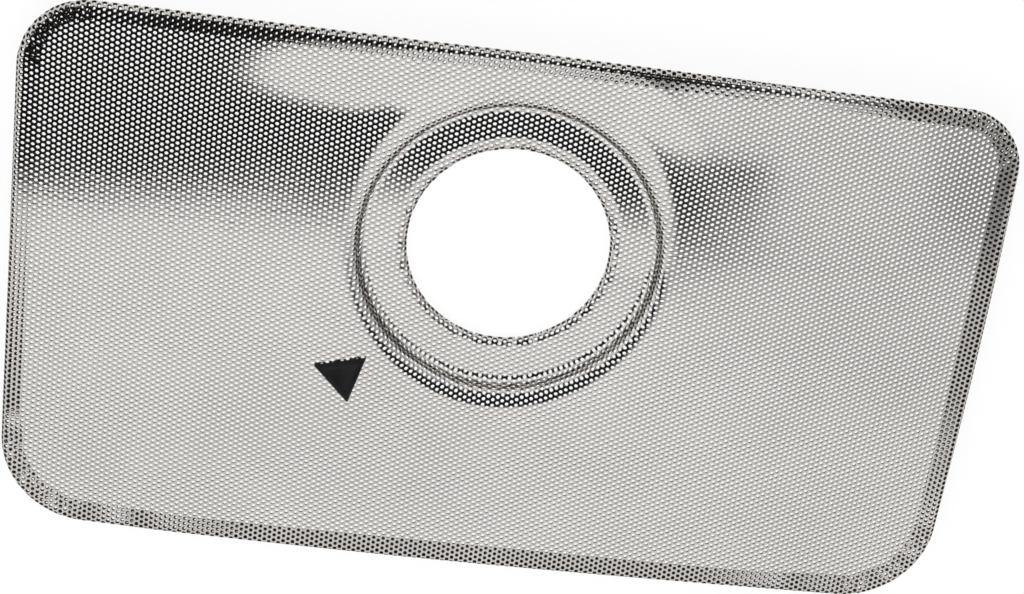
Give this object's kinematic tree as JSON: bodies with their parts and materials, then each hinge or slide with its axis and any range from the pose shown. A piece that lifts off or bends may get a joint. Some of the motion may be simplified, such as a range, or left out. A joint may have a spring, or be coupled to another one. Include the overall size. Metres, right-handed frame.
{
  "type": "dishwasher fine filter",
  "caption": "Rectangular filter plate of perforated sheet steel with rounded corners, a folded rim, a round recess with a large turned-down hole, and a small moulded arrow on its face.",
  "frame": {"origin": "under the middle of the plate, level with the lower edge of the large hole's lip", "axes": "+X along the plate's length, +Y across its width towards the long side that the large hole is nearer to, +Z out of the upper face, which carries the arrow"},
  "size_m": [0.344, 0.196, 0.0109],
  "materials": {
    "steel": "polished perforated sheet",
    "black_plastic": "moulded, satin gloss"
  },
  "bodies": {
    "root": {"filter_sheet": "steel", "arrow_marker": "black_plastic"}
  },
  "joints": []
}
